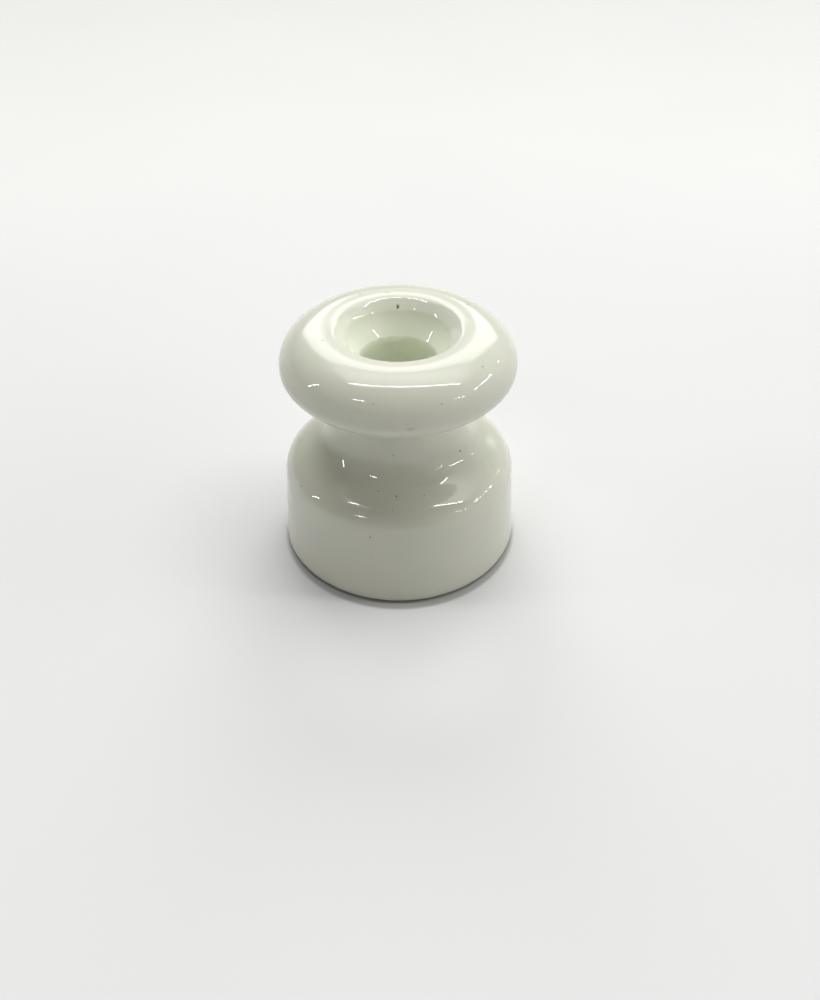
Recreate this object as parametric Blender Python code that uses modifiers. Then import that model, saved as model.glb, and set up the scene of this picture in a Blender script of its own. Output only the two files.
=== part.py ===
"""Small porcelain wall insulator for an open run of twisted cord.

One turned and glazed piece: a drum-shaped base that stands on the wall, a domed shoulder, a deep
groove round the neck for the cord, and a fat rounded head whose dished crown funnels down into
the recess of the fixing screw.  Metres, +Z up, the underside on Z = 0, the axis on Z.
"""

import math

import bpy
from mathutils import Vector

# Base: the foot is the widest place, and the wall leans in a little as it rises
FOOT_DIAMETER = 0.0200
FOOT_ROUNDING = 0.0006
WALL_LEAN = 0.00046
WALL_HEIGHT = 0.00644

# Shoulder: one swept curve from the top of the wall to the neck
SHOULDER_RISE = 0.00729
SHOULDER_ROUNDING = 0.00384
NECK_SWEEP = 0.0066

# Neck: the throat of the cord groove
NECK_DIAMETER = 0.0099
NECK_LENGTH = 0.0001

# Head: a swept underside out to the rim, then a rounded crown
UNDERSIDE_RISE = 0.00309
UNDERSIDE_SWEEP = 0.00055
RIM_ROUNDING = 0.002
HEAD_DIAMETER = 0.01844
CROWN_RISE = 0.00287

# Mouth: the crown's land dishes inwards to a soft lip, and a funnel leads down to the recess
LAND_WIDTH = 0.00153
LAND_SWEEP = 0.00085
DISH_DEPTH = 0.0004
LIP_ROUNDING = 0.00055
FUNNEL_FLARE = 0.0013
FUNNEL_DEPTH = 0.00222

# Screw hole: a recess for the screw's head, a flat seat under it, and the hole for its shank
RECESS_DIAMETER = 0.00604
SEAT_HEIGHT = 0.0090
SEAT_CORNER = 0.0003
SCREW_HOLE_DIAMETER = 0.0040
HOLE_EDGE_ROUNDING = 0.0003

# Facets round the axis, and points along each stretch of the profile
ROUND_STEPS = 96
SWEEP_POINTS = 12
CROWN_POINTS = 10
SHOULDER_POINTS = 16
DISH_POINTS = 5
SMALL_POINTS = 4

# Share of the way from a soft corner's ends to its tip at which its curve is pulled
CORNER_PULL = 0.55

GLAZE_COLOUR = (0.80, 0.81, 0.74, 1.0)
GLAZE_ROUGHNESS = 0.08
COAT_WEIGHT = 0.5


def sweep(start, start_pull, end_pull, end, count):
    """Points of a cubic curve after its start, leaving towards start_pull and arriving from end_pull."""
    points = []
    for step in range(1, count + 1):
        t = step / count
        u = 1 - t
        points.append(start * u**3 + start_pull * 3 * u * u * t + end_pull * 3 * u * t * t + end * t**3)
    return points


def quarter_round(start, corner, end, count):
    """Points of a quarter ellipse after its start, tangent to both sides of the square corner."""
    centre = start + end - corner
    points = []
    for step in range(1, count + 1):
        angle = math.radians(90) * step / count
        points.append(centre + (start - centre) * math.cos(angle) + (end - centre) * math.sin(angle))
    return points


def rounded_corner(before, corner, after, reach, count):
    """Points of a soft corner that starts and ends at the given reach from the sharp one."""
    start = corner + (before - corner).normalized() * reach
    end = corner + (after - corner).normalized() * reach
    start_pull = start.lerp(corner, CORNER_PULL)
    end_pull = end.lerp(corner, CORNER_PULL)
    return [start] + sweep(start, start_pull, end_pull, end, count)


def turned_profile():
    """The closed outline of the section at +X, as (radius, height): down the outside, up the hole."""
    up = Vector((0, 1))
    out = Vector((1, 0))

    foot_radius = FOOT_DIAMETER / 2
    wall_top = Vector((foot_radius - WALL_LEAN, WALL_HEIGHT))
    neck_low = Vector((NECK_DIAMETER / 2, WALL_HEIGHT + SHOULDER_RISE))
    neck_high = neck_low + up * NECK_LENGTH
    rim = Vector((HEAD_DIAMETER / 2, neck_high.y + UNDERSIDE_RISE))
    crown_height = rim.y + CROWN_RISE

    recess_radius = RECESS_DIAMETER / 2
    mouth = Vector((recess_radius + FUNNEL_FLARE, crown_height - DISH_DEPTH))
    crown_ring = Vector((mouth.x + LAND_WIDTH, crown_height))
    funnel_foot = Vector((recess_radius, mouth.y - FUNNEL_DEPTH))
    seat_edge = Vector((recess_radius, SEAT_HEIGHT))
    hole_top = Vector((SCREW_HOLE_DIAMETER / 2, SEAT_HEIGHT))
    hole_bottom = Vector((SCREW_HOLE_DIAMETER / 2, 0))
    foot_inner = hole_bottom + out * HOLE_EDGE_ROUNDING
    foot_outer = Vector((foot_radius, 0))

    points = [crown_ring]
    # The crown, the rim and the swept underside of the head
    points += quarter_round(crown_ring, Vector((rim.x, crown_height)), rim, CROWN_POINTS)
    points += sweep(rim, rim - up * RIM_ROUNDING, neck_high + up * UNDERSIDE_SWEEP, neck_high, SWEEP_POINTS)
    # The neck and the shoulder
    points.append(neck_low)
    shoulder_pull = wall_top + up * SHOULDER_ROUNDING
    points += sweep(neck_low, neck_low - up * NECK_SWEEP, shoulder_pull, wall_top, SHOULDER_POINTS)
    # The foot, the flat underside and the hole for the shank
    points += rounded_corner(wall_top, foot_outer, foot_inner, FOOT_ROUNDING, SMALL_POINTS)
    points.append(foot_inner)
    points += quarter_round(foot_inner, hole_bottom, hole_bottom + up * HOLE_EDGE_ROUNDING, SMALL_POINTS)
    # The seat, the recess and the funnel
    points.append(hole_top)
    points += rounded_corner(hole_top, seat_edge, funnel_foot, SEAT_CORNER, SMALL_POINTS)
    points.append(funnel_foot)
    # The lip, and the dished land back up to the crown's highest ring
    land_pull = crown_ring - out * LAND_SWEEP
    points += rounded_corner(funnel_foot, mouth, land_pull, LIP_ROUNDING, SMALL_POINTS)
    land_start = points[-1]
    start_pull = land_start.lerp(land_pull, CORNER_PULL)
    points += sweep(land_start, start_pull, land_pull, crown_ring, DISH_POINTS)[:-1]
    return points


def glazed_porcelain():
    material = bpy.data.materials.new("glazed_porcelain")
    material.use_nodes = True
    material.diffuse_color = GLAZE_COLOUR
    shader = material.node_tree.nodes["Principled BSDF"]
    shader.inputs["Base Color"].default_value = GLAZE_COLOUR
    shader.inputs["Roughness"].default_value = GLAZE_ROUGHNESS
    shader.inputs["Metallic"].default_value = 0.0
    shader.inputs["Coat Weight"].default_value = COAT_WEIGHT
    return material


def insulator_body(collection):
    """The whole insulator: its profile, turned once round Z by a Screw modifier."""
    outline = turned_profile()
    mesh = bpy.data.meshes.new("insulator_body")
    vertices = [(point.x, 0, point.y) for point in outline]
    edges = [(index, (index + 1) % len(outline)) for index in range(len(outline))]
    mesh.from_pydata(vertices, edges, [])
    mesh.materials.append(glazed_porcelain())

    body = bpy.data.objects.new("insulator_body", mesh)
    collection.objects.link(body)
    turn = body.modifiers.new("turned round the axis", "SCREW")
    turn.axis = "Z"
    turn.angle = math.radians(360)
    turn.steps = ROUND_STEPS
    turn.render_steps = ROUND_STEPS
    turn.use_smooth_shade = True
    turn.use_merge_vertices = False
    return body


def main():
    for existing in list(bpy.data.objects):
        bpy.data.objects.remove(existing)
    collection = bpy.data.collections.new("porcelain_insulator")
    bpy.context.scene.collection.children.link(collection)
    insulator_body(collection)


main()
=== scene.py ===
"""Looks of the small porcelain wall insulator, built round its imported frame.

The turned body is made again with a finer surface, a glaze and the specks and the chip that lie in
it.  Metres, +Z up, the same frame as the solid.  Bearings are degrees from +Y, clockwise seen from
above, so the camera stands near bearing 180.
"""

import math

import bpy
from mathutils import Matrix, Vector


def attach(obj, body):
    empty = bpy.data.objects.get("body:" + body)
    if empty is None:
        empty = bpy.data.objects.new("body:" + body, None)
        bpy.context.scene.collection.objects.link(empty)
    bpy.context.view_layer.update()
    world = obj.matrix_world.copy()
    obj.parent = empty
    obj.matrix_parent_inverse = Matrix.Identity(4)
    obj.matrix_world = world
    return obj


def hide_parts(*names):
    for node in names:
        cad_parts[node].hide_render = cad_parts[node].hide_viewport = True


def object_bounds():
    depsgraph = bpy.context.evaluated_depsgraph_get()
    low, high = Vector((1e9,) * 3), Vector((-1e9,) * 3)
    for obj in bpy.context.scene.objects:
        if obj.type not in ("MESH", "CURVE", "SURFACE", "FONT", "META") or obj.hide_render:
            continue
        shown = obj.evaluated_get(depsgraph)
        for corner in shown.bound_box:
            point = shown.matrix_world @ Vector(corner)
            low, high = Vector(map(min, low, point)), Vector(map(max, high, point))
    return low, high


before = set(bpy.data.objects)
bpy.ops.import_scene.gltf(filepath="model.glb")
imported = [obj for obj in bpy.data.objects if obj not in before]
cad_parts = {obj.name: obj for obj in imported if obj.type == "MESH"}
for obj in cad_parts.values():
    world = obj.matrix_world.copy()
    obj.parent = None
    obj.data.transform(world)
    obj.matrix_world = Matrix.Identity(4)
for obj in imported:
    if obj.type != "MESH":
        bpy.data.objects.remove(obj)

cad_low, cad_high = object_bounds()

# The height comes from the frame, and the rest are the drawn sizes of the turned profile
TOTAL_HEIGHT = cad_high.z

FOOT_DIAMETER = 0.0200
FOOT_ROUNDING = 0.0006
WALL_LEAN = 0.00046
SHOULDER_RISE = 0.00729
SHOULDER_ROUNDING = 0.00384
NECK_SWEEP = 0.0066
NECK_DIAMETER = 0.0099
NECK_LENGTH = 0.0001
UNDERSIDE_RISE = 0.00309
UNDERSIDE_SWEEP = 0.00055
RIM_ROUNDING = 0.002
HEAD_DIAMETER = 0.01844
CROWN_RISE = 0.00287
LAND_WIDTH = 0.00153
LAND_SWEEP = 0.00085
DISH_DEPTH = 0.0004
LIP_ROUNDING = 0.00055
FUNNEL_FLARE = 0.0013
FUNNEL_DEPTH = 0.00222
RECESS_DIAMETER = 0.00604
SEAT_HEIGHT = 0.0090
SEAT_CORNER = 0.0003
SCREW_HOLE_DIAMETER = 0.0040
HOLE_EDGE_ROUNDING = 0.0003

# Points along the profile's sweeps, curves, small corners and straight stretches
SHOULDER_POINTS = 64
SWEEP_POINTS = 44
CURVE_POINTS = 26
CORNER_POINTS = 8
STRAIGHT_POINTS = 12

# Steps round the axis, and the distance under which points at the seam become one
ROUND_STEPS = 288
SEAM_GAP = 0.000001

# Share of the way from a soft corner's ends to its tip at which its curve is pulled
CORNER_PULL = 0.55

# The funnel's wall is hollow by this much at its middle
FUNNEL_SAG = 0.00004

# The body slumps a little in the kiln, always inside the drawn profile and never at its foot
SLUMP_DEPTH = 0.00002
SLUMP_SIZE = 0.006
SLUMP_SEED = 7
SLUMP_STARTS = FOOT_ROUNDING
SLUMP_IS_FULL = 6 * FOOT_ROUNDING

# The chip in the far side of the lip
CHIP_BEARING = -1
CHIP_REACH = 0.00422
CHIP_HEIGHT = 0.01912
CHIP_SIZE = 0.00024
CHIP_NARROWING = 2.0
CHIP_DEPTH = 0.00008
CHIP_RAGGEDNESS = 0.00017

# The smudge under the rim: its place as bearing, reach from the axis and height, then its own size
SMUDGE_PLACE = (174, 0.0092, 0.0169)
SMUDGE_REACH = 0.00045
SMUDGE_CORE = 0.3 * SMUDGE_REACH
SMUDGE_FLATNESS = 2.5
SMUDGE_SHARE = 0.5

# Iron specks seen in the glaze: bearing, reach from the axis and height in mm, width in mm
SPECKS = (
    (57, 6.5, 19.7, 0.25),
    (-9, 5.5, 19.8, 0.15),
    (-31, 6.0, 19.8, 0.20),
    (-110, 5.9, 19.8, 0.14),
    (128, 7.8, 19.3, 0.15),
    (159, 8.8, 18.4, 0.14),
    (-169, 8.6, 18.5, 0.13),
    (142, 9.2, 17.1, 0.12),
    (-92, 5.6, 10.5, 0.16),
    (-176, 5.2, 11.5, 0.15),
    (121, 5.7, 10.2, 0.19),
    (-179, 7.2, 9.1, 0.16),
    (164, 7.3, 9.0, 0.13),
    (-121, 9.1, 8.0, 0.15),
    (-167, 6.9, 9.2, 0.11),
    (-177, 8.3, 8.6, 0.10),
    (111, 8.1, 8.7, 0.10),
    (-167, 9.5, 6.7, 0.15),
    (-167, 9.7, 4.5, 0.11),
    (-128, 9.8, 3.2, 0.10),
    (159, 9.8, 2.5, 0.12),
)

# Each speck's height and length as shares of its width, how finely its dome is divided, its seed
SPECK_FLATNESS = 0.22
SPECK_SHORTEST = 0.7
SPECK_LONGEST = 1.3
SPECK_DIVISIONS = 3
SPECK_SEED = 11

# More specks on the back: how many, how wide, and where the area that they lie on begins
BACK_SPECKS_PER_SQUARE_METRE = 42000
BACK_SPECK_SMALLEST = 0.00008
BACK_SPECK_LARGEST = 0.00016
BACK_BEGINS = 0.0035
BACK_LEAST_FACING = 0.25
CLEAR_OF_FOOT = 4 * FOOT_ROUNDING
CLEAR_OF_MOUTH = 0.48 * NECK_DIAMETER

# Colours are linear red, green, blue and alpha.  A fade is none at its first value, full at its second

# The glaze: even, in greyer patches, in warmer clouds, thick in the recess with painted light that makes
# it paler there, and smudged
EVEN_GLAZE = (0.64, 0.645, 0.55, 1)
GREYER_GLAZE = (0.615, 0.63, 0.53, 1)
CLOUDED_GLAZE = (0.64, 0.635, 0.56, 1)
# Paler than the rest of the glaze: painted light in the recess, and a little green where the glaze lies
# thick
THICK_GLAZE_AND_PAINTED_LIGHT = (0.83, 0.86, 0.725, 1)
SMUDGED_GLAZE = (0.42, 0.41, 0.36, 1)

# Sizes of the glaze's patches and clouds, and how much they show
PATCH_SIZE = 0.007
PATCH_FADE = (0.3, 0.7)
CLOUD_SIZE = 0.0015
CLOUD_SHARE = 0.25

# Where the glaze lies thick and the recess is painted paler as painted light, by distance from the axis
# and by height
THICK_GLAZE_LIGHT_RADIUS_FADE = (0.0052, 0.0034)
THICK_GLAZE_LIGHT_HEIGHT_FADE = (0.0080, 0.0090)

# Gloss of the glaze, what clouds and bare clay add to its roughness, and its faint ripple
GLAZE_ROUGHNESS = 0.015
CLOUD_ROUGHNESS = 0.012
BARE_ROUGHNESS = 0.55
RIPPLE_SIZE = 0.0011
RIPPLE_HEIGHT = 0.0000002
GRIT_OVER_RIPPLE = 3.0
GLAZE_IOR = 1.52

# Light inside the porcelain's skin: its share, the reach of red, green and blue, and the depth
SKIN_LIGHT = 0.3
SKIN_LIGHT_REACH = (1.0, 0.9, 0.75)
SKIN_LIGHT_DEPTH = 0.0007

# Bare clay at the foot, a near-black colour in the chip, and the uneven line at which the glaze ends
DARK_BISCUIT = (0.66, 0.64, 0.56, 1)
PALE_BISCUIT = (0.76, 0.74, 0.66, 1)
DARK_IN_THE_CHIP = (0.10, 0.085, 0.06, 1)
GRIT_SIZE = 0.0002
FOOT_LINE_WAVE = 0.0003
FOOT_LINE_WAVE_SIZE = 0.002
FOOT_LINE_FADE = (0.00036, 0.00014)

# Iron specks: their two colours, the size of their mottling, and their roughness
DARK_IRON = (0.28, 0.265, 0.205, 1)
PALE_IRON = (0.48, 0.47, 0.39, 1)
MOTTLE_SIZE = 0.004
MOTTLE_FADE = (0.35, 0.65)
IRON_ROUGHNESS = 0.2
MOTTLE_ROUGHNESS = 0.2

# Camera, with the photograph's place, tilt and lens
CAMERA_PLACE = (0.00091, -0.06003, 0.05407)
CAMERA_TILT = 49.35
CAMERA_LENS = 32.4
CAMERA_SENSOR = 36
CAMERA_NEAREST = 0.002

# The tabletop, with painted shade near the camera and painted light far behind towards the window, and a
# faint grey mottle
FLOOR_WIDTH = 1.6
SHADED_NEAR_BOARD = (0.67, 0.67, 0.675, 1)
LIT_FAR_BOARD = (0.79, 0.79, 0.776, 1)
BOARD_LIGHT_FADE = (-0.04, 0.11)
BOARD_TINT = (0.64, 0.64, 0.64, 1)
BOARD_TINT_SIZE = 0.05
BOARD_TINT_SHARE = 0.3
BOARD_ROUGHNESS = 0.7
BOARD_SHINE = 0.2

# On the tabletop, a patch of painted light in front and painted shade close round the foot
PAINTED_LIGHT_PATCH = (0.84, 0.84, 0.84, 1)
PAINTED_LIGHT_PLACE = Vector((0.0005, -0.0145, 0))
PAINTED_LIGHT_FADE = (0.011, 0.002)
PAINTED_LIGHT_SHARE = 0.6
FOOT_SHADE = (0.40, 0.40, 0.385, 1)
FOOT_SHADE_PLACE = Vector((0, -0.0006, 0))
FOOT_SHADE_FADE = (0.0102, 0.0098)

# The room's colours
CAMERA_SIDE = (0.035, 0.026, 0.020, 1)
FAR_SIDE = (0.36, 0.36, 0.35, 1)
RIGHT_SIDE = (0.72, 0.72, 0.70, 1)
LEFT_SIDE = (0.05, 0.05, 0.045, 1)
DIM_CEILING = (0.08, 0.08, 0.075, 1)
BRIGHT_CEILING = (2.8, 2.8, 2.76, 1)
WINDOW_LIGHT = (3.6, 3.64, 3.6, 1)
TABLE_EDGE = (0.62, 0.62, 0.62, 1)
PALE_WALL = (0.74, 0.74, 0.73, 1)

# Where the room changes, by how far a direction points to the back or the right, from -1 to 1
FAR_SIDE_FADE = (-0.35, 0.6)
RIGHT_SIDE_FADE = (0.3, 0.9)
LEFT_SIDE_FADE = (-0.2, -0.8)
OVERHEAD_FADE = (-0.08, 0.05)
LEFT_CEILING_FADE = (-0.5, -0.33)

# Where it changes in degrees of elevation, and the window and its pier as low, high and soft edge
CEILING_FADE = (42, 62)
TABLE_EDGE_FADE = (6.9, 6.5)
WINDOW_BEARINGS = (-27, 32, 5)
WINDOW_ELEVATIONS = (19, 47, 4)
PIER_BEARINGS = (-6, 6, 3)
PIER_TOP_FADE = (33, 29)
PIER_SHARE = 0.8

# Strips of the studio: name, start and end as (bearing, elevation), width in degrees, radiance
DOME_RADIUS = 0.4
STRIPS = (
    ("left_strip", (-90, 17), (-92, 33), 1.2, 36),
    ("front_left_strip", (-132, 41), (-144, 46), 1.2, 36),
    ("low_right_strip", (123, 33), (112, 25), 0.9, 28),
    ("right_strip", (100, 29), (74, 26), 1.1, 34),
    ("far_right_lamp", (59, 23), (56, 23), 1.6, 14),
)

# The long tube overhead: its ends, width in degrees, radiance
TUBE_START = Vector((-0.187, 0.024, 0.40))
TUBE_END = Vector((0.30, -0.010, 0.40))
TUBE_WIDTH = 2.2
TUBE_RADIANCE = 20


def feed(tree, socket, value):
    """Links a socket to the value if that is a socket, or else sets the value."""
    if isinstance(value, bpy.types.NodeSocket):
        tree.links.new(value, socket)
    else:
        socket.default_value = value


def add(tree, kind, values=None, **settings):
    """Adds a node with these settings, and feeds its inputs, by name or by number."""
    node = tree.nodes.new(kind)
    for name, setting in settings.items():
        setattr(node, name, setting)
    for key, value in (values or {}).items():
        feed(tree, node.inputs[key], value)
    return node


def calculate(tree, operation, first, second=0.0, third=0.0):
    """The result of a Math node."""
    node = add(tree, "ShaderNodeMath", {0: first, 1: second, 2: third}, operation=operation)
    return node.outputs[0]


def distance_between(tree, first, second):
    node = add(tree, "ShaderNodeVectorMath", {0: first, 1: second}, operation="DISTANCE")
    return node.outputs["Value"]


def scaled(tree, vector, factor):
    node = add(tree, "ShaderNodeVectorMath", {0: vector, "Scale": factor}, operation="SCALE")
    return node.outputs["Vector"]


def stretched(tree, vector, factors):
    node = add(tree, "ShaderNodeVectorMath", {0: vector, 1: factors}, operation="MULTIPLY")
    return node.outputs["Vector"]


def length_of(tree, vector):
    node = add(tree, "ShaderNodeVectorMath", {0: vector}, operation="LENGTH")
    return node.outputs["Value"]


def fade(tree, value, start, end):
    """0 before start and 1 after end, with a smooth change between them. Start may be above end."""
    values = {"Value": value, "From Min": start, "From Max": end}
    node = add(tree, "ShaderNodeMapRange", values, interpolation_type="SMOOTHSTEP")
    return node.outputs["Result"]


def band(tree, value, low, high, soft):
    """1 between low and high and 0 outside, with a smooth change that reaches soft to either side."""
    rise = fade(tree, value, low - soft, low + soft)
    fall = fade(tree, value, high + soft, high - soft)
    return calculate(tree, "MULTIPLY", rise, fall)


def noise(tree, place, size, detail=2.0):
    """Noise from 0 to 1 whose lumps are about the given size in metres."""
    values = {"Vector": place, "Scale": 1 / size, "Detail": detail}
    return add(tree, "ShaderNodeTexNoise", values).outputs[0]


def polar(bearing, reach, height):
    """The point at that bearing in degrees, distance from the axis and height."""
    angle = math.radians(bearing)
    return Vector((reach * math.sin(angle), reach * math.cos(angle), height))


def sweep(start, start_pull, end_pull, end, count):
    """Points of a cubic curve after its start, leaving towards start_pull and arriving from end_pull."""
    points = []
    for step in range(1, count + 1):
        t = step / count
        u = 1 - t
        points.append(start * u**3 + start_pull * 3 * u * u * t + end_pull * 3 * u * t * t + end * t**3)
    return points


def straight(start, end, count):
    return [start.lerp(end, step / count) for step in range(1, count + 1)]


def sagging(start, end, depth, count):
    """A line after its start that sags to its right by depth at the middle."""
    across = end - start
    side = Vector((across.y, -across.x)).normalized()
    points = []
    for step in range(1, count + 1):
        t = step / count
        points.append(start.lerp(end, t) + side * depth * 4 * t * (1 - t))
    return points


def quarter_round(start, corner, end, count):
    """Points of a quarter ellipse after its start, tangent to both sides of the square corner."""
    centre = start + end - corner
    points = []
    for step in range(1, count + 1):
        angle = math.radians(90) * step / count
        points.append(centre + (start - centre) * math.cos(angle) + (end - centre) * math.sin(angle))
    return points


def rounded_corner(before, corner, after, reach, count):
    """Points of a soft corner that starts and ends at the given reach from the sharp one."""
    start = corner + (before - corner).normalized() * reach
    end = corner + (after - corner).normalized() * reach
    start_pull = start.lerp(corner, CORNER_PULL)
    end_pull = end.lerp(corner, CORNER_PULL)
    return [start] + sweep(start, start_pull, end_pull, end, count)


def turned_profile():
    """The closed outline of the section at +X, as (radius, height): down the outside, up the hole."""
    up = Vector((0, 1))
    out = Vector((1, 0))

    rim = Vector((HEAD_DIAMETER / 2, TOTAL_HEIGHT - CROWN_RISE))
    neck_high = Vector((NECK_DIAMETER / 2, rim.y - UNDERSIDE_RISE))
    neck_low = neck_high - up * NECK_LENGTH
    foot_radius = FOOT_DIAMETER / 2
    wall_top = Vector((foot_radius - WALL_LEAN, neck_low.y - SHOULDER_RISE))

    recess_radius = RECESS_DIAMETER / 2
    mouth = Vector((recess_radius + FUNNEL_FLARE, TOTAL_HEIGHT - DISH_DEPTH))
    crown_ring = Vector((mouth.x + LAND_WIDTH, TOTAL_HEIGHT))
    funnel_foot = Vector((recess_radius, mouth.y - FUNNEL_DEPTH))
    seat_edge = Vector((recess_radius, SEAT_HEIGHT))
    hole_top = Vector((SCREW_HOLE_DIAMETER / 2, SEAT_HEIGHT))
    hole_bottom = Vector((SCREW_HOLE_DIAMETER / 2, 0))
    foot_inner = hole_bottom + out * HOLE_EDGE_ROUNDING
    hole_low = hole_bottom + up * HOLE_EDGE_ROUNDING
    foot_outer = Vector((foot_radius, 0))

    points = [crown_ring]
    # The crown, the rim and the swept underside of the head
    points += quarter_round(crown_ring, Vector((rim.x, crown_ring.y)), rim, CURVE_POINTS)
    rim_pull = rim - up * RIM_ROUNDING
    points += sweep(rim, rim_pull, neck_high + up * UNDERSIDE_SWEEP, neck_high, SWEEP_POINTS)
    # The neck and the long sweep of the shoulder
    points.append(neck_low)
    shoulder_pull = wall_top + up * SHOULDER_ROUNDING
    points += sweep(neck_low, neck_low - up * NECK_SWEEP, shoulder_pull, wall_top, SHOULDER_POINTS)
    # The wall, the foot and the flat underside
    foot = rounded_corner(wall_top, foot_outer, foot_inner, FOOT_ROUNDING, CORNER_POINTS)
    points += straight(points[-1], foot[0], STRAIGHT_POINTS) + foot[1:]
    points += straight(points[-1], foot_inner, STRAIGHT_POINTS)
    # The hole for the shank and the seat
    points += quarter_round(foot_inner, hole_bottom, hole_low, CORNER_POINTS)
    points += straight(hole_low, hole_top, STRAIGHT_POINTS)
    points += rounded_corner(hole_top, seat_edge, funnel_foot, SEAT_CORNER, CORNER_POINTS)
    # The recess and the funnel
    points += straight(points[-1], funnel_foot, STRAIGHT_POINTS)
    land_pull = crown_ring - out * LAND_SWEEP
    lip = rounded_corner(funnel_foot, mouth, land_pull, LIP_ROUNDING, CURVE_POINTS)
    points += sagging(funnel_foot, lip[0], FUNNEL_SAG, CURVE_POINTS) + lip[1:]
    # The dished land, back up to the crown's highest ring
    land_start = points[-1]
    start_pull = land_start.lerp(land_pull, CORNER_PULL)
    points += sweep(land_start, start_pull, land_pull, crown_ring, CURVE_POINTS)[:-1]
    return points


def profile_curve():
    """The outline as a closed curve object in the XZ plane."""
    outline = turned_profile()
    curve = bpy.data.curves.new("turned_profile", "CURVE")
    curve.dimensions = "3D"
    spline = curve.splines.new("POLY")
    spline.points.add(len(outline) - 1)
    for point, place in zip(spline.points, outline):
        point.co = (place.x, 0, place.y, 1)
    spline.use_cyclic_u = True
    guide = bpy.data.objects.new("turned_profile", curve)
    bpy.context.scene.collection.objects.link(guide)
    return guide


def new_tree(name, inputs):
    """A Geometry Nodes tree with these inputs, as (name, socket type, default) after its geometry."""
    tree = bpy.data.node_groups.new(name, "GeometryNodeTree")
    tree.interface.new_socket("Geometry", in_out="INPUT", socket_type="NodeSocketGeometry")
    for label, kind, default in inputs:
        socket = tree.interface.new_socket(label, in_out="INPUT", socket_type=kind)
        if default is not None:
            socket.default_value = default
    tree.interface.new_socket("Geometry", in_out="OUTPUT", socket_type="NodeSocketGeometry")
    source = tree.nodes.new("NodeGroupInput").outputs
    sink = tree.nodes.new("NodeGroupOutput").inputs
    return tree, source, sink


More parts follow.
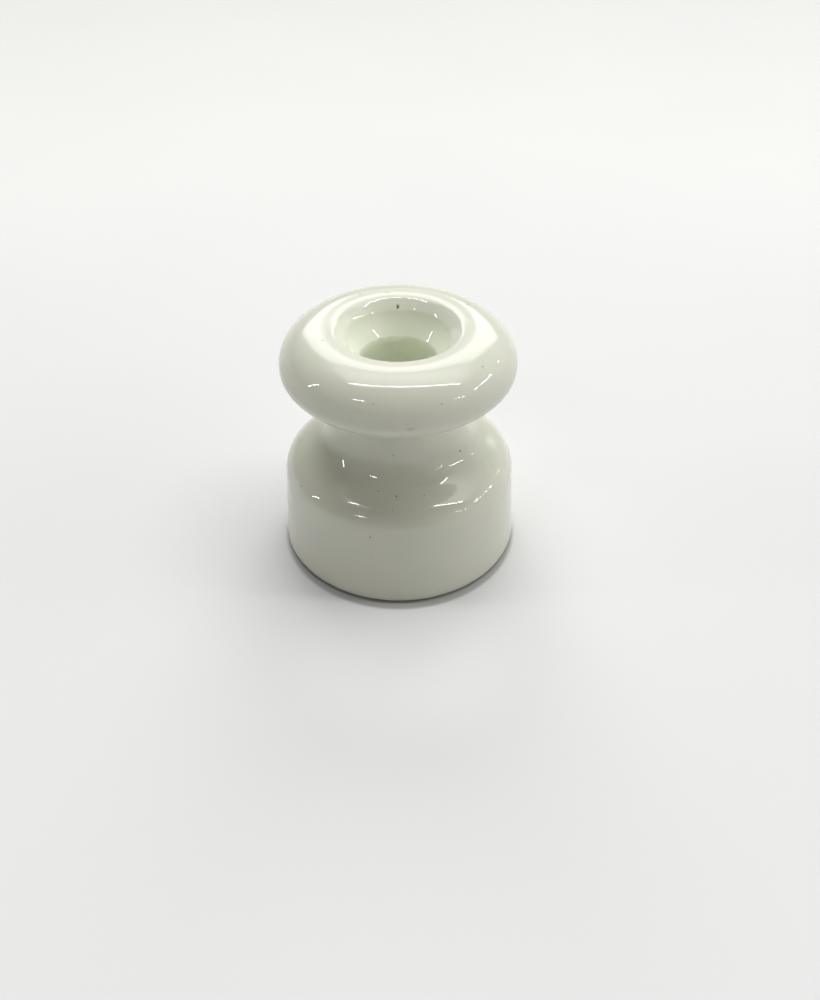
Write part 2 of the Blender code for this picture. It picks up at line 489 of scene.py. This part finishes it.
def lathe_tree():
    """Turns a closed profile once round Z, lets it slump, and knocks one chip out of it."""
    tree, given, result = new_tree("turn_on_the_lathe", (
        ("Steps Round", "NodeSocketInt", 96),
        ("Slump Depth", "NodeSocketFloat", 0.0),
        ("Slump Size", "NodeSocketFloat", 0.01),
        ("Slump Seed", "NodeSocketFloat", 0.0),
        ("Chip Place", "NodeSocketVector", None),
        ("Chip Size", "NodeSocketFloat", 0.0002),
        ("Chip Depth", "NodeSocketFloat", 0.0),
        ("Glaze", "NodeSocketMaterial", None),
    ))
    profile = given["Geometry"]
    size = add(tree, "GeometryNodeAttributeDomainSize", {0: profile}, component="CURVE")
    count = size.outputs["Point Count"]
    rows = calculate(tree, "ADD", count, 1)
    columns = calculate(tree, "ADD", given["Steps Round"], 1)
    grid = add(tree, "GeometryNodeMeshGrid", {"Vertices X": columns, "Vertices Y": rows})

    # Each column of the grid is the whole profile, and each row one of its points taken round
    index = tree.nodes.new("GeometryNodeInputIndex").outputs[0]
    middle = calculate(tree, "ADD", index, 0.5)
    column = calculate(tree, "FLOOR", calculate(tree, "DIVIDE", middle, rows))
    row = calculate(tree, "SUBTRACT", index, calculate(tree, "MULTIPLY", column, rows))
    profile_index = calculate(tree, "MODULO", row, count)
    position = tree.nodes.new("GeometryNodeInputPosition").outputs[0]
    sample = add(
        tree,
        "GeometryNodeSampleIndex",
        {"Geometry": profile, "Value": position, "Index": profile_index},
        data_type="FLOAT_VECTOR",
        domain="POINT",
    )
    drawn = add(tree, "ShaderNodeSeparateXYZ", {0: sample.outputs["Value"]}).outputs
    turn = calculate(tree, "MULTIPLY", calculate(tree, "DIVIDE", column, given["Steps Round"]), math.tau)
    across = calculate(tree, "MULTIPLY", drawn["X"], calculate(tree, "COSINE", turn))
    along = calculate(tree, "MULTIPLY", drawn["X"], calculate(tree, "SINE", turn))
    placed = add(tree, "ShaderNodeCombineXYZ", {0: across, 1: along, 2: drawn["Z"]}).outputs[0]
    turned = add(tree, "GeometryNodeSetPosition", {"Geometry": grid.outputs["Mesh"], "Position": placed})
    merged = add(
        tree, "GeometryNodeMergeByDistance", {"Geometry": turned.outputs[0], "Distance": SEAM_GAP}
    )
    # The grid's faces turn inwards when it is rolled up, so they are flipped
    closed = add(tree, "GeometryNodeFlipFaces", {"Mesh": merged.outputs[0]})

    # The slump, which leaves the underside flat
    normal = tree.nodes.new("GeometryNodeInputNormal").outputs[0]
    waves = add(
        tree,
        "ShaderNodeTexNoise",
        {
            "Vector": position,
            "W": given["Slump Seed"],
            "Scale": calculate(tree, "DIVIDE", 1, given["Slump Size"]),
            "Detail": 1.0,
        },
        noise_dimensions="4D",
    ).outputs[0]
    height = add(tree, "ShaderNodeSeparateXYZ", {0: position}).outputs["Z"]
    free = fade(tree, height, SLUMP_STARTS, SLUMP_IS_FULL)
    sink = calculate(tree, "MULTIPLY", calculate(tree, "MULTIPLY", waves, free), given["Slump Depth"])
    inward = scaled(tree, normal, calculate(tree, "MULTIPLY", sink, -1))
    slumped = add(tree, "GeometryNodeSetPosition", {"Geometry": closed.outputs[0], "Offset": inward})

    # The chip.  Its edge is ragged by up to half its reach, and it is full at half its size
    ragged = noise(tree, position, CHIP_RAGGEDNESS)
    apart = add(
        tree, "ShaderNodeVectorMath", {0: position, 1: given["Chip Place"]}, operation="SUBTRACT"
    )
    narrowed = stretched(tree, apart.outputs[0], (CHIP_NARROWING, 1, 1))
    reach = calculate(
        tree, "MULTIPLY", length_of(tree, narrowed), calculate(tree, "ADD", ragged, 0.5)
    )
    half = calculate(tree, "MULTIPLY", given["Chip Size"], 0.5)
    knocked = fade(tree, reach, given["Chip Size"], half)
    depth = calculate(tree, "MULTIPLY", knocked, given["Chip Depth"])
    hollow = scaled(tree, normal, calculate(tree, "MULTIPLY", depth, -1))
    marked = add(
        tree,
        "GeometryNodeStoreNamedAttribute",
        {"Geometry": slumped.outputs[0], "Name": "chipped", "Value": knocked},
        data_type="FLOAT",
        domain="POINT",
    )
    chipped = add(tree, "GeometryNodeSetPosition", {"Geometry": marked.outputs[0], "Offset": hollow})

    smooth = add(tree, "GeometryNodeSetShadeSmooth", {"Geometry": chipped.outputs[0]})
    whole = add(tree, "GeometryNodeRealizeInstances", {"Geometry": smooth.outputs[0]})
    glazed = add(
        tree, "GeometryNodeSetMaterial", {"Geometry": whole.outputs[0], "Material": given["Glaze"]}
    )
    tree.links.new(glazed.outputs[0], result[0])
    return tree


def specks_tree():
    """Sets a low dark dome in the glaze at each given point, and scatters more over the back."""
    tree, given, result = new_tree("specks_in_the_glaze", (
        ("Body", "NodeSocketObject", None),
        ("Flatness", "NodeSocketFloat", 0.2),
        ("Back Density", "NodeSocketFloat", 0.0),
        ("Smallest", "NodeSocketFloat", 0.0001),
        ("Largest", "NodeSocketFloat", 0.0002),
        ("Seed", "NodeSocketInt", 0),
        ("Iron", "NodeSocketMaterial", None),
    ))
    body = add(tree, "GeometryNodeObjectInfo", {"Object": given["Body"]}).outputs["Geometry"]
    position = tree.nodes.new("GeometryNodeInputPosition").outputs[0]
    normal = tree.nodes.new("GeometryNodeInputNormal").outputs[0]

    seen = add(tree, "GeometryNodeMeshToPoints", {"Mesh": given["Geometry"]})
    # The back of the outside, clear of the mouth and the foot
    place = add(tree, "ShaderNodeSeparateXYZ", {0: position}).outputs
    facing = add(tree, "ShaderNodeSeparateXYZ", {0: normal}).outputs
    radius = length_of(tree, stretched(tree, position, (1, 1, 0)))
    tests = (
        calculate(tree, "GREATER_THAN", place["Y"], BACK_BEGINS),
        calculate(tree, "GREATER_THAN", facing["Y"], BACK_LEAST_FACING),
        calculate(tree, "GREATER_THAN", place["Z"], CLEAR_OF_FOOT),
        calculate(tree, "GREATER_THAN", radius, CLEAR_OF_MOUTH),
    )
    chosen = 1.0
    for test in tests:
        chosen = calculate(tree, "MULTIPLY", test, chosen)
    scatter = add(tree, "GeometryNodeDistributePointsOnFaces", {
        "Mesh": body, "Selection": chosen, "Density": given["Back Density"], "Seed": given["Seed"],
    })
    random_width = add(tree, "FunctionNodeRandomValue", {
        2: given["Smallest"], 3: given["Largest"], "Seed": given["Seed"],
    }, data_type="FLOAT").outputs[1]
    sized = add(tree, "GeometryNodeStoreNamedAttribute", {
        "Geometry": scatter.outputs["Points"], "Name": "width", "Value": random_width,
    }, data_type="FLOAT", domain="POINT")
    both = add(tree, "GeometryNodeJoinGeometry")
    tree.links.new(seen.outputs[0], both.inputs[0])
    tree.links.new(sized.outputs[0], both.inputs[0])

    nearest = add(tree, "GeometryNodeProximity", {0: body}, target_element="FACES").outputs["Position"]
    seated = add(tree, "GeometryNodeSetPosition", {"Geometry": both.outputs[0], "Position": nearest})
    facing_out = add(
        tree,
        "GeometryNodeSampleNearestSurface",
        {"Mesh": body, "Value": normal},
        data_type="FLOAT_VECTOR",
    ).outputs["Value"]
    upright = add(tree, "FunctionNodeAlignRotationToVector", {"Vector": facing_out}, axis="Z")
    stored = add(tree, "GeometryNodeInputNamedAttribute", {"Name": "width"}, data_type="FLOAT")
    width = stored.outputs["Attribute"]
    flat = calculate(tree, "MULTIPLY", width, given["Flatness"])
    stretch = add(tree, "FunctionNodeRandomValue", {
        2: SPECK_SHORTEST, 3: SPECK_LONGEST, "Seed": given["Seed"],
    }, data_type="FLOAT").outputs[1]
    wide = calculate(tree, "MULTIPLY", width, stretch)
    scale = add(tree, "ShaderNodeCombineXYZ", {0: width, 1: wide, 2: flat}).outputs[0]
    dome = add(tree, "GeometryNodeMeshIcoSphere", {"Radius": 0.5, "Subdivisions": SPECK_DIVISIONS})
    set_in = add(tree, "GeometryNodeInstanceOnPoints", {
        "Points": seated.outputs[0], "Instance": dome.outputs["Mesh"],
        "Rotation": upright.outputs[0], "Scale": scale,
    })
    real = add(tree, "GeometryNodeRealizeInstances", {"Geometry": set_in.outputs[0]})
    smooth = add(tree, "GeometryNodeSetShadeSmooth", {"Geometry": real.outputs[0]})
    dark = add(
        tree, "GeometryNodeSetMaterial", {"Geometry": smooth.outputs[0], "Material": given["Iron"]}
    )
    tree.links.new(dark.outputs[0], result[0])
    return tree


def grown(name, guide, tree, values):
    """A piece with the plain mesh that the tree makes from the guide.  The guide is removed."""
    modifier = guide.modifiers.new(tree.name, "NODES")
    modifier.node_group = tree
    sockets = {}
    for item in tree.interface.items_tree:
        if item.in_out == "INPUT":
            sockets[item.name] = item.identifier
    for label, value in values.items():
        modifier[sockets[label]] = value
    guide.update_tag()
    graph = bpy.context.evaluated_depsgraph_get()
    mesh = bpy.data.meshes.new_from_object(guide.evaluated_get(graph), depsgraph=graph)
    mesh.name = name
    guide.modifiers.remove(modifier)
    bpy.data.objects.remove(guide)
    piece = bpy.data.objects.new(name, mesh)
    bpy.context.scene.collection.objects.link(piece)
    return piece


def new_material(name):
    material = bpy.data.materials.new(name)
    material.use_nodes = True
    tree = material.node_tree
    return material, tree, tree.nodes["Principled BSDF"]


def mixed(tree, factor, first, second):
    node = tree.nodes.new("ShaderNodeMix")
    node.data_type = "RGBA"
    colours = [socket for socket in node.inputs if socket.type == "RGBA"]
    feed(tree, node.inputs[0], factor)
    feed(tree, colours[0], first)
    feed(tree, colours[1], second)
    return next(socket for socket in node.outputs if socket.type == "RGBA")


def white_glaze():
    """Clear glossy glaze over white porcelain, bare where it stood in the kiln, and dull and near black
    where it chipped.
    """
    material, tree, shader = new_material("white_glaze")
    place = tree.nodes.new("ShaderNodeTexCoord").outputs["Object"]
    height = add(tree, "ShaderNodeSeparateXYZ", {0: place}).outputs["Z"]

    patches = noise(tree, place, PATCH_SIZE)
    clouds = noise(tree, place, CLOUD_SIZE)
    glaze = mixed(tree, fade(tree, patches, *PATCH_FADE), EVEN_GLAZE, GREYER_GLAZE)
    glaze = mixed(tree, calculate(tree, "MULTIPLY", clouds, CLOUD_SHARE), glaze, CLOUDED_GLAZE)
    # The glaze lies thick and a little green in the recess, which is also painted paler there as painted
    # light
    radius = length_of(tree, stretched(tree, place, (1, 1, 0)))
    inside = fade(tree, radius, *THICK_GLAZE_LIGHT_RADIUS_FADE)
    above = fade(tree, height, *THICK_GLAZE_LIGHT_HEIGHT_FADE)
    glaze = mixed(tree, calculate(tree, "MULTIPLY", inside, above), glaze, THICK_GLAZE_AND_PAINTED_LIGHT)
    # A faint smudge under the rim
    apart = add(tree, "ShaderNodeVectorMath", {0: place, 1: polar(*SMUDGE_PLACE)}, operation="SUBTRACT")
    flattened = stretched(tree, apart.outputs[0], (1, 1, SMUDGE_FLATNESS))
    smudge = fade(tree, length_of(tree, flattened), SMUDGE_REACH, SMUDGE_CORE)
    glaze = mixed(tree, calculate(tree, "MULTIPLY", smudge, SMUDGE_SHARE), glaze, SMUDGED_GLAZE)

    # The bare foot, up to an uneven line
    line = calculate(tree, "MULTIPLY", noise(tree, place, FOOT_LINE_WAVE_SIZE), FOOT_LINE_WAVE)
    bare = fade(tree, calculate(tree, "SUBTRACT", height, line), *FOOT_LINE_FADE)
    grit = noise(tree, place, GRIT_SIZE)
    biscuit = mixed(tree, grit, DARK_BISCUIT, PALE_BISCUIT)
    chipped = add(tree, "ShaderNodeAttribute", attribute_name="chipped").outputs["Fac"]
    colour = mixed(tree, bare, glaze, biscuit)
    colour = mixed(tree, chipped, colour, DARK_IN_THE_CHIP)
    feed(tree, shader.inputs["Base Color"], colour)

    clouded = calculate(tree, "MULTIPLY", clouds, CLOUD_ROUGHNESS)
    rough = calculate(tree, "ADD", clouded, GLAZE_ROUGHNESS)
    dull = calculate(tree, "MAXIMUM", bare, chipped)
    rough = calculate(tree, "ADD", rough, calculate(tree, "MULTIPLY", dull, BARE_ROUGHNESS))
    feed(tree, shader.inputs["Roughness"], rough)

    dull_grit = calculate(tree, "MULTIPLY", grit, dull)
    waves = noise(tree, place, RIPPLE_SIZE, 1.0)
    ripple = calculate(tree, "MULTIPLY_ADD", dull_grit, GRIT_OVER_RIPPLE, waves)
    bump = add(tree, "ShaderNodeBump", {"Height": ripple, "Distance": RIPPLE_HEIGHT, "Strength": 1.0})
    feed(tree, shader.inputs["Normal"], bump.outputs[0])

    shader.inputs["IOR"].default_value = GLAZE_IOR
    shader.inputs["Subsurface Weight"].default_value = SKIN_LIGHT
    shader.inputs["Subsurface Radius"].default_value = SKIN_LIGHT_REACH
    shader.inputs["Subsurface Scale"].default_value = SKIN_LIGHT_DEPTH
    return material


def iron_in_the_glaze():
    """Iron specks, mottled from dark to pale grey-brown, and duller than the glaze round them."""
    material, tree, shader = new_material("iron_in_the_glaze")
    place = tree.nodes.new("ShaderNodeTexCoord").outputs["Object"]
    mottle = fade(tree, noise(tree, place, MOTTLE_SIZE), *MOTTLE_FADE)
    feed(tree, shader.inputs["Base Color"], mixed(tree, mottle, DARK_IRON, PALE_IRON))
    rough = calculate(tree, "MULTIPLY", mottle, MOTTLE_ROUGHNESS)
    feed(tree, shader.inputs["Roughness"], calculate(tree, "ADD", rough, IRON_ROUGHNESS))
    return material


def glazed_insulator():
    """The whole turned body, with its glaze, its slump and its chip."""
    return grown("glazed_insulator", profile_curve(), lathe_tree(), {
        "Steps Round": ROUND_STEPS,
        "Slump Depth": SLUMP_DEPTH,
        "Slump Size": SLUMP_SIZE,
        "Slump Seed": float(SLUMP_SEED),
        "Chip Place": polar(CHIP_BEARING, CHIP_REACH, CHIP_HEIGHT),
        "Chip Size": CHIP_SIZE,
        "Chip Depth": CHIP_DEPTH,
        "Glaze": white_glaze(),
    })


def glaze_specks(body):
    """All the specks in the glaze, as one piece."""
    mm = 0.001
    mesh = bpy.data.meshes.new("speck_places")
    places = [polar(bearing, reach * mm, height * mm) for bearing, reach, height, width in SPECKS]
    mesh.from_pydata(places, [], [])
    widths = mesh.attributes.new("width", "FLOAT", "POINT")
    for item, speck in zip(widths.data, SPECKS):
        item.value = speck[3] * mm
    guide = bpy.data.objects.new("speck_places", mesh)
    bpy.context.scene.collection.objects.link(guide)
    return grown("glaze_specks", guide, specks_tree(), {
        "Body": body,
        "Flatness": SPECK_FLATNESS,
        "Back Density": float(BACK_SPECKS_PER_SQUARE_METRE),
        "Smallest": BACK_SPECK_SMALLEST,
        "Largest": BACK_SPECK_LARGEST,
        "Seed": SPECK_SEED,
        "Iron": iron_in_the_glaze(),
    })


def pale_floor():
    """A pale tabletop, far wider than the view, with painted light and shade in its colour."""
    material, tree, shader = new_material("pale_board")
    place = tree.nodes.new("ShaderNodeTexCoord").outputs["Object"]
    along = add(tree, "ShaderNodeSeparateXYZ", {0: place}).outputs["Y"]
    # Painted shade near the camera and painted light far behind
    board = mixed(tree, fade(tree, along, *BOARD_LIGHT_FADE), SHADED_NEAR_BOARD, LIT_FAR_BOARD)
    tint = calculate(tree, "MULTIPLY", noise(tree, place, BOARD_TINT_SIZE), BOARD_TINT_SHARE)
    board = mixed(tree, tint, board, BOARD_TINT)
    # A patch of painted light in front, and painted shade close round the foot
    lit_front = fade(tree, distance_between(tree, place, PAINTED_LIGHT_PLACE), *PAINTED_LIGHT_FADE)
    board = mixed(tree, calculate(tree, "MULTIPLY", lit_front, PAINTED_LIGHT_SHARE), board, PAINTED_LIGHT_PATCH)
    radius = distance_between(tree, place, FOOT_SHADE_PLACE)
    board = mixed(tree, fade(tree, radius, *FOOT_SHADE_FADE), board, FOOT_SHADE)
    feed(tree, shader.inputs["Base Color"], board)
    shader.inputs["Roughness"].default_value = BOARD_ROUGHNESS
    shader.inputs["Specular IOR Level"].default_value = BOARD_SHINE
    half = FLOOR_WIDTH / 2
    mesh = bpy.data.meshes.new("pale_floor")
    corners = [(-half, -half, 0), (half, -half, 0), (half, half, 0), (-half, half, 0)]
    mesh.from_pydata(corners, [], [(0, 1, 2, 3)])
    mesh.materials.append(material)
    floor = bpy.data.objects.new("pale_floor", mesh)
    bpy.context.scene.collection.objects.link(floor)


def strip_light(name, start, end, width, radiance):
    """A straight strip from start to end that faces the object, as wide as given in degrees."""
    aim = Vector((0, 0, TOTAL_HEIGHT / 2))
    middle = (start + end) / 2
    along = (end - start).normalized()
    facing = middle - aim
    distance = facing.length
    facing = (facing - along * facing.dot(along)).normalized()
    side = facing.cross(along)
    light = bpy.data.lights.new(name, "AREA")
    light.shape = "RECTANGLE"
    light.size = (end - start).length
    light.size_y = 2 * distance * math.tan(math.radians(width / 2))
    light.energy = radiance * math.pi * light.size * light.size_y
    lamp = bpy.data.objects.new(name, light)
    bpy.context.scene.collection.objects.link(lamp)
    turned = Matrix((along, side, facing)).transposed().to_4x4()
    lamp.matrix_world = Matrix.Translation(middle) @ turned


def towards(bearing, elevation):
    """The point on the studio's dome in that direction from the object."""
    rise = math.radians(elevation)
    return polar(bearing, math.cos(rise) * DOME_RADIUS, math.sin(rise) * DOME_RADIUS + TOTAL_HEIGHT / 2)


def soft_room():
    """The room's soft light: a bright window behind, a pale ceiling, and shade by the camera."""
    world = bpy.data.worlds.new("soft_room")
    world.use_nodes = True
    tree = world.node_tree
    background = tree.nodes["Background"]
    way = tree.nodes.new("ShaderNodeTexCoord").outputs["Generated"]
    across, back, up = add(tree, "ShaderNodeSeparateXYZ", {0: way}).outputs
    degrees = 180 / math.pi
    elevation = calculate(tree, "MULTIPLY", calculate(tree, "ARCSINE", up), degrees)
    bearing = calculate(tree, "MULTIPLY", calculate(tree, "ARCTAN2", across, back), degrees)

    room = mixed(tree, fade(tree, back, *FAR_SIDE_FADE), CAMERA_SIDE, FAR_SIDE)
    room = mixed(tree, fade(tree, across, *RIGHT_SIDE_FADE), room, RIGHT_SIDE)
    room = mixed(tree, fade(tree, across, *LEFT_SIDE_FADE), room, LEFT_SIDE)
    # The ceiling is brightest from overhead to the window, and dim on the left
    overhead = fade(tree, back, *OVERHEAD_FADE)
    overhead = calculate(tree, "MULTIPLY", overhead, fade(tree, across, *LEFT_CEILING_FADE))
    ceiling = mixed(tree, overhead, DIM_CEILING, BRIGHT_CEILING)
    room = mixed(tree, fade(tree, elevation, *CEILING_FADE), room, ceiling)
    # The window, with a pier in its lower half
    window_span = band(tree, bearing, *WINDOW_BEARINGS)
    window = calculate(tree, "MULTIPLY", window_span, band(tree, elevation, *WINDOW_ELEVATIONS))
    pier_span = band(tree, bearing, *PIER_BEARINGS)
    pier = calculate(tree, "MULTIPLY", pier_span, fade(tree, elevation, *PIER_TOP_FADE))
    pier = calculate(tree, "SUBTRACT", 1, calculate(tree, "MULTIPLY", pier, PIER_SHARE))
    room = mixed(tree, calculate(tree, "MULTIPLY", window, pier), room, WINDOW_LIGHT)
    # The far edge of the tabletop
    room = mixed(tree, fade(tree, elevation, *TABLE_EDGE_FADE), room, TABLE_EDGE)
    # Where the camera sees the room itself, from low down, it is a plain pale wall
    seen = tree.nodes.new("ShaderNodeLightPath").outputs["Is Camera Ray"]
    room = mixed(tree, seen, room, PALE_WALL)
    feed(tree, background.inputs["Color"], room)
    bpy.context.scene.world = world


def studio():
    soft_room()
    strip_light("overhead_tube", TUBE_START, TUBE_END, TUBE_WIDTH, TUBE_RADIANCE)
    for name, start, end, width, radiance in STRIPS:
        strip_light(name, towards(*start), towards(*end), width, radiance)


def photo_camera():
    camera = bpy.data.cameras.new("photo_camera")
    camera.lens = CAMERA_LENS
    camera.sensor_width = CAMERA_SENSOR
    camera.clip_start = CAMERA_NEAREST
    stand = bpy.data.objects.new("photo_camera", camera)
    bpy.context.scene.collection.objects.link(stand)
    stand.location = CAMERA_PLACE
    stand.rotation_euler = (math.radians(CAMERA_TILT), 0, 0)
    bpy.context.scene.camera = stand


photo_camera()
bpy.context.scene.view_settings.view_transform = "Standard"

body = glazed_insulator()
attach(body, "root")
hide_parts("insulator_body")

specks = glaze_specks(body)
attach(specks, "root")

pale_floor()
studio()
